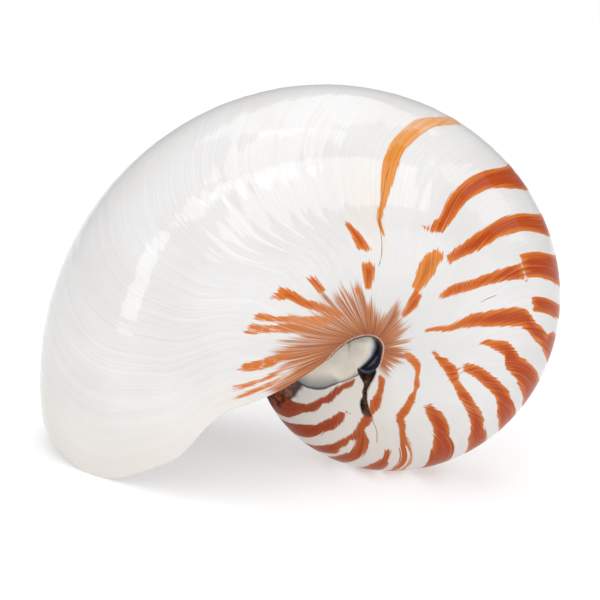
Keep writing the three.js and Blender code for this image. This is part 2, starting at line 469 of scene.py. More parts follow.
# %% The lining and the last septum
INSIDE_ROWS = 84
SEPTUM_ROWS = 20
THICKENING = 14.0            # degrees behind the lip over which most of the thickness is gained
SEPTUM_BOWL = 10.0           # degrees that the septum's middle lies behind its rim
SEPTUM_CENTRE = 0.62         # radius of that middle, as a share of the outer edge's
SIPHUNCLE = 0.05             # opening of the siphuncle, as a share of the septum
SIPHUNCLE_DEPTH = 4.0        # degrees
BOWL_END, TUBE_END = 0.75, 0.95              # shares of the rows


def wall_at(growth):
    """Thickness of the wall."""
    back = (LIP_ANGLE - growth) / THICKENING
    return (1.0 - e_to(-back)) * (WALL - LIP_WALL) + LIP_WALL


def inside_patch(tree, sizes):
    sheet, row, column = grid(tree, INSIDE_ROWS)
    side = side_of(column)
    growth = row * (SEPTUM_ANGLE - LIP_ANGLE) + LIP_ANGLE
    place = point(tree, sizes, growth, side, wall_at(growth))
    return patch(tree, sheet, place, growth, side, 1.0)


def septum_patch(tree, sizes):
    sheet, row, column = grid(tree, SEPTUM_ROWS)
    side = side_of(column)
    swing = row.range(0.0, BOWL_END) * (math.pi / 2)
    tube = row.range(BOWL_END, TUBE_END)
    opening = (swing.math("COSINE") * (1.0 - SIPHUNCLE) + SIPHUNCLE) * (1.0 - row.range(TUBE_END, 1.0))
    growth = SEPTUM_ANGLE - swing.math("SINE") * SEPTUM_BOWL - tube * SIPHUNCLE_DEPTH
    wall = wall_at(growth)
    rim = point(tree, sizes, growth, side, wall)
    centre = vector_math("SCALE", point(tree, sizes, growth, 0.0, wall), SEPTUM_CENTRE)
    centre = vector_math("MULTIPLY", centre, (1.0, 0.0, 1.0))
    place = blend(opening, rim, centre)
    return patch(tree, sheet, place, growth, side, tube + 2.0)


print("the septum closes the chamber at", SEPTUM_ANGLE, "degrees")

# %% [markdown]
# The patches are joined, merged where their borders meet, tipped and moved to the coiling axis. The tree
# runs as a modifier on an empty mesh, and its result is kept as a plain mesh, so that the paint can read
# its points.

# %% Grow the skin
SAME_PLACE = 2e-6            # metres, points closer than this are one
SIZES = [("Geometry", GEOMETRY), ("Lip radius", FLOAT), ("Expansion", FLOAT), ("Pitch", FLOAT),
         ("Axis", VECTOR)]


def join(tree, parts):
    joined = tree.nodes.new("GeometryNodeJoinGeometry")
    for part in reversed(parts):
        tree.links.new(part.socket, joined.inputs[0])
    return Wire(tree, joined.outputs[0])


def finish_skin(tree, skin, wires, material):
    """Pitches the coil on the floor, moves it to its axis, smooths it and gives it its material."""
    rotation = vector(tree, 0.0, wires["Pitch"], 0.0)
    skin = node(tree, "GeometryNodeTransform", None,
                {"Geometry": skin, "Translation": wires["Axis"], "Rotation": rotation})
    skin = node(tree, "GeometryNodeSetShadeSmooth", None, {0: skin})
    skin = node(tree, "GeometryNodeRealizeInstances", None, {"Geometry": skin})
    skin = node(tree, "GeometryNodeSetMaterial", None, {"Geometry": skin, "Material": material})
    finish_group(tree, {"Geometry": skin})


def build_skin_tree(material):
    tree, wires = new_group("Nautilus skin", SIZES + [("Relief", FLOAT)], [("Geometry", GEOMETRY)])
    sizes = {"Lip radius": wires["Lip radius"], "Expansion": wires["Expansion"]}
    parts = [
        outside_patch(tree, sizes, wires["Relief"], HIDDEN_ROWS, OLD_START, SHOWN_START, True),
        outside_patch(tree, sizes, wires["Relief"], OUTSIDE_ROWS, SHOWN_START, LIP_ANGLE, False),
        lip_patch(tree, sizes),
        inside_patch(tree, sizes),
        septum_patch(tree, sizes),
    ]
    skin = join(tree, parts)
    skin = node(tree, "GeometryNodeMergeByDistance", None, {"Geometry": skin, "Distance": SAME_PLACE})
    skin = node(tree, "GeometryNodeFlipFaces", None, {"Mesh": skin})
    finish_skin(tree, skin, wires, material)
    print("the skin's tree has", len(tree.nodes), "nodes")
    return tree


def grow(name, tree, values):
    """Runs a geometry tree on an empty mesh and returns its result as a plain mesh object."""
    seed = bpy.data.objects.new(name + "_seed", bpy.data.meshes.new(name + "_seed"))
    bpy.context.collection.objects.link(seed)
    modifier = seed.modifiers.new("grow", "NODES")
    modifier.node_group = tree
    identifiers = {item.name: item.identifier for item in tree.interface.items_tree if item.in_out == "INPUT"}
    for label, value in values.items():
        modifier[identifiers[label]] = value
    ready = seed.evaluated_get(bpy.context.evaluated_depsgraph_get())
    mesh = bpy.data.meshes.new_from_object(ready)
    bpy.data.objects.remove(seed)
    mesh.name = name
    piece = bpy.data.objects.new(name, mesh)
    bpy.context.collection.objects.link(piece)
    return piece


def new_material(name):
    material = bpy.data.materials.new(name)
    material.use_nodes = True
    return material


shell_sizes = {"Lip radius": LIP_RADIUS, "Expansion": EXPANSION, "Pitch": PITCH, "Axis": AXIS}
pearl = new_material("pearl")
shell = grow("nautilus_shell_skin", build_skin_tree(pearl), {**shell_sizes, "Relief": 1.0})
print("the skin has", len(shell.data.polygons), "faces and", len(shell.data.vertices), "points")

# %% [markdown]
# ## The calluses
# A callus plugs each umbilicus: a lens of smooth cream shell, flush with the old whorl on one side and sunk
# under the hooked edge of the last whorl on the other, where it leaves a dark cleft. Each lens is one grid
# that runs from the middle of its face out to its rim and back along its underside. Lengths in this tree
# are in millimetres.

# %% Grow the calluses
CALLUS_ROWS = 61             # face and underside together
CALLUS_COLUMNS = 121
LENS_RADIUS = 6.1
LENS_TUCK = 1.6              # the rim reaches this much farther under the old whorl's flank
LENS_THICKNESS = 3.0
FACE_HEIGHT = 15.95          # from the middle plane to the face's middle; it slopes as the old flank does
FACE_SLOPE_ACROSS = 0.306
FACE_SLOPE_UP = 0.153
SUNK_UNDER_FLANK = 0.5
LUMP_HEIGHT = 0.9
CLEFT_DEPTH = 3.6
CLEFT_BEND = 0.068           # the cleft bends away towards its lower end


def lens_edge(direction):
    """Distance of the rim from the coiling axis, for a direction in degrees."""
    widening = HOOK_WIDENING / MM * bell(direction, HOOK_WIDENING_AT, HOOK_WIDENING_REACH)
    first_tuck = direction.between(80.0, 150.0) * direction.range(215.0, 190.0) * LENS_TUCK
    second_tuck = direction.between(185.0, 215.0) * direction.between(305.0, 285.0) * LENS_TUCK
    return widening + LENS_RADIUS + first_tuck + second_tuck


def callus_lens(tree, sizes, sign):
    sheet, row, column = grid(tree, CALLUS_ROWS, CALLUS_COLUMNS)
    reach = 1.0 - abs(row * 2.0 - 1.0)
    under = (row * 2.0 - 1.0).at_least(0.0).math("SIGN")
    direction = column * 360.0
    edge = lens_edge(direction)
    turn = direction * (math.pi / 180)
    across = edge * reach * turn.math("COSINE")
    up = edge * reach * turn.math("SINE")
    # the old whorl's flank slopes, and the face carries on in its plane
    face = across * FACE_SLOPE_ACROSS - up * FACE_SLOPE_UP + FACE_HEIGHT
    radius = sizes["Lip radius"] * sizes["Expansion"] ** ((direction - LIP_ANGLE) / 360.0)
    flank = hook_height(direction, radius) / MM
    beside_flank = direction.between(100.0, 135.0) * (1.0 - direction.between(282.0, 300.0))
    face = face + (flank - SUNK_UNDER_FLANK - face) * (beside_flank * reach.between(0.74, 1.0))
    # the cleft: how far a place lies to the right of the line where the face begins to fall away
    fall = (up - 1.0).at_most(0.0)
    cleft = across - 1.0 + fall * fall * CLEFT_BEND
    face = face - cleft.between(-0.1, 3.6) * CLEFT_DEPTH
    dome = 1.0 - reach * reach
    lump = noise(tree, vector(tree, across * 0.28, up * 0.28, float(sign)), 1.0, 2.0, 0.5)
    face = face + (lump - 0.5) * LUMP_HEIGHT * dome - under * dome * LENS_THICKNESS
    place = vector_math("SCALE", vector(tree, across, face * float(sign), up), MM)
    noted = store(sheet, "cleft", cleft)
    lens = node(tree, "GeometryNodeSetPosition", None, {"Geometry": noted, "Position": place})
    lens = node(tree, "GeometryNodeMergeByDistance", None, {"Geometry": lens, "Distance": SAME_PLACE})
    if sign > 0:
        lens = node(tree, "GeometryNodeFlipFaces", None, {"Mesh": lens})
    return lens


def build_callus_tree(material):
    tree, wires = new_group("Nautilus callus", SIZES, [("Geometry", GEOMETRY)])
    sizes = {"Lip radius": wires["Lip radius"], "Expansion": wires["Expansion"]}
    pair = join(tree, [callus_lens(tree, sizes, -1), callus_lens(tree, sizes, 1)])
    finish_skin(tree, pair, wires, material)
    print("the calluses' tree has", len(tree.nodes), "nodes")
    return tree


cream = new_material("callus_cream")
callus_pair = grow("nautilus_shell_callus", build_callus_tree(cream), shell_sizes)
print("the calluses have", len(callus_pair.data.polygons), "faces")

# %% [markdown]
# ## Where the colours lie
# The stripes were laid down by the edge of the mantle as the shell grew, so each one keeps close to a
# growth line on the outer edge and runs ahead on the flank. They are drawn as bands of growth angle against
# side, with only the turns that each band needs. The depth of each point inside the nearest band goes into
# an attribute, in millimetres. A depth is smooth from point to point, so the paint can draw a sharp and
# ragged edge from it.

# %% The stripes
# each band: how yellow it is, then (side, first growth angle, last growth angle) from the outer edge inwards
STRIPES = [
    (0.1, [(0.0, 224, 232), (0.14, 220, 231), (0.29, 213, 229), (0.36, 220, 228), (0.43, 226, 233),
           (0.5, 229, 235), (0.54, 235, 243), (0.59, 242, 249), (0.64, 247, 254), (0.71, 250, 258),
           (0.79, 255, 261), (0.86, 260, 262)]),
    (0.1, [(0.0, 236, 244), (0.14, 234, 244), (0.29, 234, 244), (0.37, 238, 245), (0.43, 241, 250),
           (0.49, 245, 253), (0.53, 251, 256), (0.54, 257, 261)]),
    (0.3, [(0.0, 251, 257), (0.14, 250, 257), (0.24, 250, 259), (0.31, 252, 258), (0.4, 256, 260),
           (0.44, 260, 268), (0.49, 262, 268), (0.53, 267, 276), (0.57, 276, 282), (0.6, 281, 291),
           (0.64, 283, 295), (0.71, 288, 297), (0.79, 293, 303), (0.86, 297, 310), (0.93, 301, 308)]),
    (0.3, [(0.0, 263, 268), (0.14, 261, 268), (0.24, 260, 268), (0.32, 262, 269), (0.43, 263, 271),
           (0.48, 263, 268)]),
    (0.2, [(0.0, 276, 284), (0.24, 275, 283), (0.3, 277, 281), (0.38, 279, 282)]),
    (0.45, [(0.0, 288, 291), (0.2, 286, 289), (0.38, 286, 290), (0.48, 289, 293), (0.54, 294, 300),
            (0.57, 300, 312), (0.6, 312, 322), (0.64, 327, 335), (0.69, 333, 341), (0.74, 346, 359),
            (0.79, 353, 366), (0.83, 357, 371), (0.86, 364, 371)]),
    (0.9, [(0.0, 292, 295), (0.2, 290, 292), (0.45, 291, 293)]),
    (0.1, [(0.0, 300, 311), (0.29, 299, 311), (0.37, 302, 311), (0.43, 306, 315), (0.49, 309, 318),
           (0.53, 313, 321), (0.56, 320, 325)]),
    (0.1, [(0.0, 317, 327), (0.21, 317, 326), (0.29, 317, 325), (0.37, 322, 329), (0.43, 326, 332),
           (0.5, 331, 338), (0.54, 340, 346), (0.57, 347, 358), (0.61, 358, 366), (0.66, 365, 371),
           (0.69, 371, 374)]),
    (0.1, [(0.0, 332, 341), (0.21, 331, 340), (0.29, 332, 341), (0.37, 338, 344), (0.43, 341, 348),
           (0.49, 345, 352), (0.53, 350, 357), (0.55, 355, 359)]),
    (0.1, [(0.0, 344, 355), (0.14, 344, 355), (0.29, 346, 356), (0.34, 349, 357), (0.39, 351, 362),
           (0.41, 357, 364), (0.47, 362, 366), (0.51, 366, 368)]),
    (0.2, [(0.0, 361, 371), (0.14, 361, 371), (0.2, 362, 368), (0.29, 364, 371), (0.34, 368, 376),
           (0.43, 371, 379), (0.49, 373, 381), (0.53, 378, 386), (0.57, 384, 390), (0.61, 387, 392),
           (0.67, 391, 395), (0.73, 394, 397)]),
    (0.2, [(0.0, 376, 380), (0.3, 374, 380)]),
    (0.1, [(0.0, 385, 395), (0.31, 386, 395)]),
    (0.1, [(0.31, 385, 391), (0.43, 390, 395), (0.49, 393, 398), (0.52, 396, 402), (0.54, 400, 406),
           (0.57, 405, 411), (0.6, 410, 413)]),
    (0.1, [(0.0, 400, 407), (0.29, 402, 408), (0.37, 403, 409), (0.43, 405, 411), (0.49, 409, 414),
           (0.52, 413, 417)]),
    (0.7, [(0.51, 416, 421), (0.55, 420, 429), (0.59, 423, 433), (0.64, 425, 431)]),
    (0.1, [(0.64, 422, 428), (0.7, 418, 428), (0.75, 419, 427), (0.8, 421, 427)]),
    (0.1, [(0.0, 414, 423), (0.29, 418, 424), (0.44, 420, 425), (0.47, 421, 427), (0.485, 425, 431)]),
    (1.0, [(0.0, 438, 442), (0.14, 442, 447), (0.22, 442, 447)]),
    (0.9, [(0.16, 442, 446), (0.26, 442, 447), (0.3, 443, 447)]),
    (0.8, [(0.24, 443, 446), (0.34, 442, 447), (0.4, 443, 447), (0.46, 444.5, 447), (0.54, 448.5, 450.5)]),
    (0.3, [(0.52, 461, 463), (0.55, 459, 464), (0.585, 458, 466)]),
    (0.2, [(0.61, 457, 466), (0.68, 458, 466), (0.73, 461, 465)]),
    (0.5, [(0.72, 469, 474), (0.76, 469, 473)]),
    (0.2, [(0.62, 492, 496), (0.7, 491, 496)]),
    (0.4, [(0.605, 507, 516), (0.64, 505, 511), (0.69, 504, 510), (0.74, 500, 508), (0.85, 490, 500)]),
    (0.7, [(0.605, 523, 527), (0.66, 521, 525), (0.74, 515, 522), (0.85, 500, 515)]),
    (0.8, [(0.605, 529, 534), (0.66, 527, 531), (0.74, 521, 529), (0.85, 512, 524)]),
    (0.8, [(0.615, 547, 551), (0.67, 546, 551), (0.74, 543, 550), (0.85, 532, 545)]),
    (0.9, [(0.61, 557, 559), (0.7, 556, 558), (0.8, 551, 556), (0.88, 545, 552)]),
    (0.9, [(0.61, 561, 563), (0.7, 560, 562), (0.8, 557, 561), (0.88, 551, 559)]),
]
print(len(STRIPES), "stripes are drawn")

# %% Crust, callus edge and cracks
# the dark crust in the groove beside the umbilicus
CRUST = [(0.55, 271, 279), (0.6, 270, 280), (0.63, 273, 279), (0.75, 273, 280), (0.8, 274, 282),
         (0.86, 274, 286), (0.92, 269, 294), (1.0, 262, 308), (1.1, 262, 308)]
# the edge of the callus over the old whorl: (growth angle, side)
CALLUS_EDGE = [(196, 0.36), (202, 0.41), (210, 0.44), (220, 0.5), (233, 0.56), (242, 0.615), (250, 0.74),
               (258, 0.86), (266, 0.93), (272, 0.98), (276, 1.05)]
# hairline cracks on the near flank, each a chain of (growth angle, side)
CRACKS = [
    [(445, 0.37), (447, 0.49), (450, 0.54), (454.5, 0.6)],
    [(275.3, 0.45), (275.8, 0.49), (276.6, 0.52)],
    [(385.9, 0.46), (386.2, 0.475)],
]
print(len(CRACKS), "cracks are drawn")

# %% [markdown]
# The depths are worked out point by point from the growth angle and the side. The same numbers also shape
# the wall a little: the crust lies in a lumpy groove with a raised younger edge, and the callus is a thin
# sheet that stands on the old whorl, so its points are moved along their normals.

# %% Depths in millimetres
FAR_AWAY = 50.0              # a distance that no mark reaches


def read(mesh, name):
    values = np.zeros(len(mesh.vertices), np.float32)
    mesh.attributes[name].data.foreach_get("value", values)
    return values.astype(float)


def write(mesh, name, values):
    attribute = mesh.attributes.get(name) or mesh.attributes.new(name, "FLOAT", "POINT")
    attribute.data.foreach_set("value", values.astype(np.float32))


def places(mesh):
    flat = np.zeros(len(mesh.vertices) * 3, np.float32)
    mesh.vertices.foreach_get("co", flat)
    return flat.reshape(-1, 3).astype(float)


def to_coil(points):
    """Places told from the coiling axis and turned back to the unpitched coil, in millimetres."""
    back = np.array(Matrix.Rotation(-PITCH, 3, "Y"))
    return (points - np.array(AXIS)) @ back.T / MM


def band_depth(band, growth, side, per_degree, per_side):
    """How deep each point lies inside one band, in millimetres, negative outside."""
    sides, first, last = (np.array(column, float) for column in zip(*band))
    first, last = np.interp(side, sides, first), np.interp(side, sides, last)
    inside = np.minimum(growth - first, last - growth) * per_degree
    ends = (sides[-1] - side) * per_side
    if sides[0] > 0:
        ends = np.minimum(ends, (side - sides[0]) * per_side)
    return np.minimum(inside, ends)


def crack_offsets(growth, side, per_degree, per_side):
    """Each point's offset across the nearest crack and its distance from that crack, in millimetres."""
    across = np.full(len(growth), FAR_AWAY)
    distance = np.full(len(growth), FAR_AWAY)
    for chain in CRACKS:
        for (growth_a, side_a), (growth_b, side_b) in zip(chain, chain[1:]):
            along = np.stack([(growth_b - growth_a) * per_degree, (side_b - side_a) * per_side])
            here = np.stack([(growth - growth_a) * per_degree, (side - side_a) * per_side])
            length = np.hypot(*along)
            share = np.clip((here * along).sum(0) / length ** 2, 0, 1)
            apart = np.hypot(*(here - along * share))
            nearer = apart < distance
            across = np.where(nearer, (here[0] * along[1] - here[1] * along[0]) / length, across)
            distance = np.where(nearer, apart, distance)
    return across, distance


def soft_step(values, bottom, top):
    share = np.clip((values - bottom) / (top - bottom), 0, 1)
    return share * share * (3 - 2 * share)


print("depths and distances are ready")

# %% Note the marks on the skin
FAR_DRIFT, FAR_WOBBLE = 2.2, 1.2     # degrees that the far flank's stripes wander from the near flank's
FAR_SHIFT = 0.05                     # share of the side that they wander
SIDE_LENGTH = 0.9                    # length of the way from side 0 to 1, as a share of the radius


def far_flank(growth, signed):
    """Growth angles and sides for drawing. The far flank isn't an exact mirror of the near one."""
    side = np.abs(signed)
    far = (signed > 0) * np.clip(side / 0.3, 0, 1)
    wander = FAR_DRIFT * np.sin(growth * 0.11) + FAR_WOBBLE * np.sin(growth * 0.31 + 1.0)
    return growth + far * wander, side * (1 + far * FAR_SHIFT * np.sin(growth * 0.17 + 2.0))


def note_stripes(mesh, growth, side, scale):
    depth = np.full(len(growth), -FAR_AWAY)
    yellow = np.zeros(len(growth))
    for hue, band in STRIPES:
        here = band_depth(band, growth, side, *scale)
        yellow = np.where(here > depth, hue, yellow)
        depth = np.maximum(depth, here)
    write(mesh, "stripe", depth)
    write(mesh, "yellow", yellow)
    print(int((depth > 0).sum()), "points lie in a stripe")


def callus_depth(growth, side, scale):
    """How deep each point lies under the callus's sheet, which ends at the foot of the crust."""
    angles, sides = (np.array(column, float) for column in zip(*CALLUS_EDGE))
    depth = np.where(growth > angles[-1], -FAR_AWAY, (side - np.interp(growth, angles, sides)) * scale[1])
    return np.minimum(depth, (angles[-1] - growth) * 2.0)


coil = to_coil(places(shell.data))
growth, signed = read(shell.data, "growth"), read(shell.data, "side")
radius = np.hypot(coil[:, 0], coil[:, 2])
scale = (np.radians(radius), SIDE_LENGTH * LIP_RADIUS / MM * EXPANSION ** ((growth - LIP_ANGLE) / 360))
note_stripes(shell.data, *far_flank(growth, signed), scale)
crust = band_depth(CRUST, growth, np.abs(signed), *scale)
write(shell.data, "crust", crust)
callus = callus_depth(growth, np.abs(signed), scale)
write(shell.data, "callus", callus)
across, distance = crack_offsets(growth, np.abs(signed), *scale)
write(shell.data, "crack", across)
write(shell.data, "crack_distance", np.where(signed < 0, distance, FAR_AWAY))
print(int((crust > 0).sum()), "points lie in the crust and", int((callus > 0).sum()), "under the callus")

# %% Shape the groove and the callus's edge
GROOVE_DEPTH = 0.9           # millimetres, under the crust
LUMPINESS = 0.35
LEDGE_HEIGHT = 0.3
LEDGE_START = 278            # the ledge is on the younger side of this growth angle
CALLUS_STEP = 0.3            # the callus stands this much on the old whorl
OUTER_SIDE = 1.05            # the wall past this side isn't shaped

outer = (read(shell.data, "lining") == 0) & (np.abs(signed) < OUTER_SIDE)
lumps = np.sin(coil[:, 0] * 2.9) * np.sin(coil[:, 2] * 3.7 + 1.0) + 0.5 * np.sin(coil[:, 2] * 6.1)
sunk = soft_step(crust, -0.1, 0.7) * (GROOVE_DEPTH - LUMPINESS * lumps)
ledge = soft_step(crust, -1.4, -0.2) * (1 - soft_step(crust, -0.2, 0.2)) * (growth > LEDGE_START)
lift = LEDGE_HEIGHT * ledge + CALLUS_STEP * soft_step(callus, -0.15, 0.5) - sunk
normals = np.zeros(len(shell.data.vertices) * 3, np.float32)
shell.data.vertex_normals.foreach_get("vector", normals)
moved = places(shell.data) + normals.reshape(-1, 3) * (lift * outer * MM)[:, None]
shell.data.vertices.foreach_set("co", moved.astype(np.float32).ravel())
shell.data.update()
print("the groove is up to", round(float((sunk * outer).max()), 1), "mm deep")

# %% [markdown]
# ## The skin's finish
# The wall is porcelain on the outside and mother-of-pearl inside. Streaks of colour run along the growth
# lines, so the noise behind them changes quickly with the growth angle and slowly with the side. Stains and
# crust don't follow the growth, so theirs is laid out in the piece's own coordinates.

# %% What the paint is worked out from
def attribute(tree, name):
    return node(tree, "ShaderNodeAttribute", {"attribute_type": "GEOMETRY", "attribute_name": name}, None, 2)


def body_place(tree):
    """A point's place in the piece's own coordinates."""
    return node(tree, "ShaderNodeTexCoord", None, None, 3)


def mix(tree, share, first, second):
    return node(tree, "ShaderNodeMix", {"data_type": "RGBA"}, {0: share, 6: first, 7: second}, 2)


def colour(red, green, blue):
    """A colour read off as 0 to 255, as the linear colour that Blender mixes."""
    return tuple(((c / 255) ** 2.2) for c in (red, green, blue)) + (1.0,)


class Marks:
    """The marks noted on the skin, and the noises that every part of its paint shares."""

    def __init__(self, tree):
        self.tree = tree
        for name in ("growth", "lining", "stripe", "yellow", "crust", "callus", "crack_distance"):
            setattr(self, name, attribute(tree, name))
        self.side = abs(attribute(tree, "side"))
        self.crack = abs(attribute(tree, "crack"))
        self.body = body_place(tree)
        self.streak = self.along(1.3, 2.2, 0.0, 4.0, 0.6)
        self.fine = self.along(4.0, 1.5, 0.0, 3.0, 0.6)
        self.hair = self.along(2.4, 0.8, 7.0, 4.0, 0.7)
        self.cloud = noise(tree, self.body, 28.0)
        self.grain = noise(tree, self.body, 260.0)
        self.outside = 1.0 - self.lining.at_most(1.0)

    def along(self, per_growth, per_side, layer, detail=3.0, roughness=0.55):
        """Noise that runs along the growth lines."""
        place = vector(self.tree, self.growth * per_growth, self.side * per_side, layer)
        return noise(self.tree, place, 1.0, detail, roughness)

    def over(self, paint, share, top):
        """Lays a colour over the paint."""
        return mix(self.tree, share, paint, top)


print("the paint has its marks and its noises")

# %% The white wall
WHITE_COOL, WHITE_WARM = colour(209, 208, 207), colour(217, 216, 216)
GREY_LINES, BRIGHT_LINES = colour(194, 192, 190), colour(228, 227, 226)
LIP_CREAM = colour(213, 204, 193)
OLD_IVORY_SHADE = colour(198, 191, 184)
TEA_STAIN = colour(216, 188, 156)


def paint_wall(m):
    """Clean white, warm on the lip, ivory on the old whorl darkened partly by painted shade, with a faint
    stain beside the long crack.
    """
    white = mix(m.tree, m.cloud.between(0.35, 0.7), WHITE_COOL, WHITE_WARM)
    white = m.over(white, m.fine.between(0.35, 0.75) * 0.45, GREY_LINES)
    white = m.over(white, m.hair.between(0.56, 0.8) * 0.5, BRIGHT_LINES)
    white = m.over(white, m.growth.between(545.0, LIP_ANGLE) * 0.5, LIP_CREAM)
    # the old whorl turns a darker ivory: partly a warmer tone, partly painted shade
    white = m.over(white, m.growth.range(330.0, 280.0) * 0.9, OLD_IVORY_SHADE)
    stained = m.growth.between(444.0, 449.0) * m.growth.between(466.0, 454.0) * m.side.between(0.3, 0.42)
    stained = stained * m.side.between(0.64, 0.5) * m.cloud.between(0.2, 0.8)
    return m.over(white, stained * 0.35, TEA_STAIN)


print("the wall is white from", [round(c, 2) for c in WHITE_COOL[:3]])

# %% [markdown]
# Stripes are rust-brown where the pigment is thick and ochre where it thins out. Noise moves their edge in
# and out by up to a millimetre and combs it into hairs, and lighter and darker growth lines run through
# them. Beside the lip they are thin and broken.

# %% The stripes' paint
RUST_THIN, RUST_THICK = colour(200, 110, 40), colour(166, 64, 18)
OCHRE, LIP_BROWN = colour(220, 154, 70), colour(190, 104, 36)
RUST_DARK_LINES, RUST_LIGHT_LINES = colour(128, 40, 6), colour(212, 138, 82)
OLD_RUST_SHADE = colour(126, 42, 2)


def stripe_cover(m, ragged, near_lip):
    """How much of the wall a stripe covers."""
    combed = m.hair.between(0.60, 0.72) * (1.0 - ragged.range(0.4, 1.8) * 0.7)
    faint = m.yellow.range(0.85, 1.0) * (m.cloud + m.streak - 0.5).between(0.35, 0.7)
    crossed = m.along(0.4, 38.0, 0.0, 2.0)
    gaps = (m.hair.between(0.52, 0.64) * 0.4 + crossed.between(0.54, 0.64) * 0.3) * near_lip
    cover = ragged.between(-0.12, 0.3) * (1.0 - combed * 0.75) * (1.0 - faint * 0.35)
    return cover * (1.0 - gaps) * (1.0 - near_lip * m.side.between(0.74, 0.86) * 0.9)


def paint_stripes(m):
    """The stripes' cover and their colour."""
    ragged = m.stripe + (m.streak - 0.5) * 2.8 + (m.hair - 0.5) * 1.2 + (m.grain - 0.5) * 0.7
    near_lip = m.growth.between(512.0, 524.0)
    thick = ragged.range(0.0, 2.6) + (m.streak - 0.5) * 1.3 + (m.fine - 0.5) * 0.5 - m.yellow * 0.6
    rust = mix(m.tree, thick.between(0.0, 0.8), RUST_THIN, RUST_THICK)
    rust = m.over(rust, m.yellow.between(0.5, 1.0) * 0.7, mix(m.tree, near_lip, OCHRE, LIP_BROWN))
    rust = m.over(rust, m.fine.between(0.48, 0.72) * 0.5, RUST_DARK_LINES)
    rust = m.over(rust, m.hair.between(0.54, 0.68) * 0.5, RUST_LIGHT_LINES)
    # painted shade: the stripes darken towards the old whorl
    rust = m.over(rust, m.growth.range(350.0, 240.0) * 0.8, OLD_RUST_SHADE)
    return stripe_cover(m, ragged, near_lip), rust


print("stripes run from", [round(c, 2) for c in RUST_THIN[:3]], "to", [round(c, 2) for c in RUST_THICK[:3]])

# %% [markdown]
# Around the umbilicus the stripes run together in a brown fan. Three noises make its outline: one drifts
# slowly, so that the fan is wider in some directions, one makes the rays and one frays them. Gaps between
# the rays close towards the umbilical edge, which has a thin pale rim.

# %% The fan
FAN_DARK, FAN_LIGHT = colour(134, 56, 20), colour(178, 106, 56)
FAN_GAPS, FAN_LINES = colour(208, 154, 100), colour(128, 58, 24)
FAN_FRINGE, FAN_CORE = colour(202, 144, 86), colour(146, 74, 46)
RIM_PALE = colour(222, 200, 188)


def paint_fan(m):
    """The fan's cover and its colour."""
    ray = m.along(0.5, 1.4, 3.0, 4.0, 0.7)
    gap = m.along(0.8, 0.9, 11.0, 3.0, 0.6)
    drift = m.along(0.11, 0.5, 5.0, 1.0)
    start = m.growth.range(305.0, 480.0, to=(0.90, 0.745))
    depth = m.side - start + (drift - 0.5) * 0.32 + (ray - 0.5) * 0.22 + (m.streak - 0.5) * 0.14
    fan = depth.between(-0.01, 0.05) * m.growth.between(302.0, 325.0)
    fan = fan * (1.0 - gap.between(0.48, 0.6) * (1.0 - m.side.range(0.78, 0.93)) * 0.6)
    brown = mix(m.tree, ray.between(0.36, 0.6), FAN_DARK, FAN_LIGHT)
    brown = m.over(brown, gap.between(0.46, 0.62) * 0.6, FAN_GAPS)
    brown = m.over(brown, m.streak.between(0.5, 0.62) * 0.5, FAN_LINES)
    brown = m.over(brown, depth.range(0.10, 0.0) * 0.35, FAN_FRINGE)
    return fan, m.over(brown, m.side.between(0.9, 1.0) * 0.5, FAN_CORE)


def pale_rim(m):
    return m.side.between(0.986, 0.995) * m.side.between(1.024, 1.012) * m.growth.between(292.0, 304.0)


print("the fan runs from", [round(c, 2) for c in FAN_DARK[:3]], "to", [round(c, 2) for c in FAN_LIGHT[:3]])

# %% [markdown]
# Where the old whorl comes out from under the lip it wears the blotchy dark film of the living animal,
# darkened further by painted shade under the lip. The callus is cream, turned grey towards its edge by
# painted shade, with a painted shadow line at the edge. The crust in the groove is nearly black and grainy,
# and the umbilical wall is painted dark as shade.

# %% Film and painted shade under the lip, callus, crust and cracks
# the film's colours stand partly for the animal's dark film, partly for painted shade under the lip
FILM_AND_SHADE_DARK, FILM_AND_SHADE_LIGHT = colour(50, 16, 2), colour(134, 62, 26)
CREAM_WARM, CREAM_LIGHT = colour(200, 192, 178), colour(220, 212, 196)
# painted shade greys the callus towards its edge, and a painted shadow line darkens the edge
CALLUS_SHADE_GREY, CALLUS_SHADOW_LINE = colour(124, 122, 122), colour(52, 44, 44)
CRUST_DARK, CRUST_LIGHT = colour(30, 20, 17), colour(92, 64, 50)
CRACK_BROWN = colour(104, 78, 58)
WALL_SHADE = colour(42, 45, 56)


def paint_film_and_shade(m):
    """The cover and colour of the dark film under the lip: partly the animal's film, partly painted shade."""
    blotch = noise(m.tree, m.body, 520.0)
    end = m.growth + m.side * 38.0 + (blotch - 0.5) * 7.0 + (m.cloud - 0.5) * 8.0
    film_and_shade = (1.0 - end.between(229.0, 233.0)) * m.outside
    return film_and_shade, mix(m.tree, blotch.between(0.42, 0.62), FILM_AND_SHADE_DARK, FILM_AND_SHADE_LIGHT)


def callus_colour(tree, body):
    """Cream with soft clouds."""
    return mix(tree, noise(tree, body, 90.0, 2.0).between(0.3, 0.7), CREAM_WARM, CREAM_LIGHT)


# Painted shade turns the callus grey towards its edge, and a painted shadow line marks the edge.
def paint_callus_sheet(m, paint):
    sheet = mix(m.tree, m.callus.between(0.0, 3.8), CALLUS_SHADE_GREY, callus_colour(m.tree, m.body))
    sheet = m.over(sheet, m.callus.between(0.7, 0.0), CALLUS_SHADOW_LINE)
    return m.over(paint, m.callus.between(-0.25, 0.05), sheet)


def paint_crust(m, paint):
    """The paint with the crust on it, and the crust's cover."""
    crusted = (m.crust + (m.grain - 0.5) * 1.6).between(-0.1, 0.4)
    return m.over(paint, crusted, mix(m.tree, m.grain.between(0.4, 0.6), CRUST_DARK, CRUST_LIGHT)), crusted


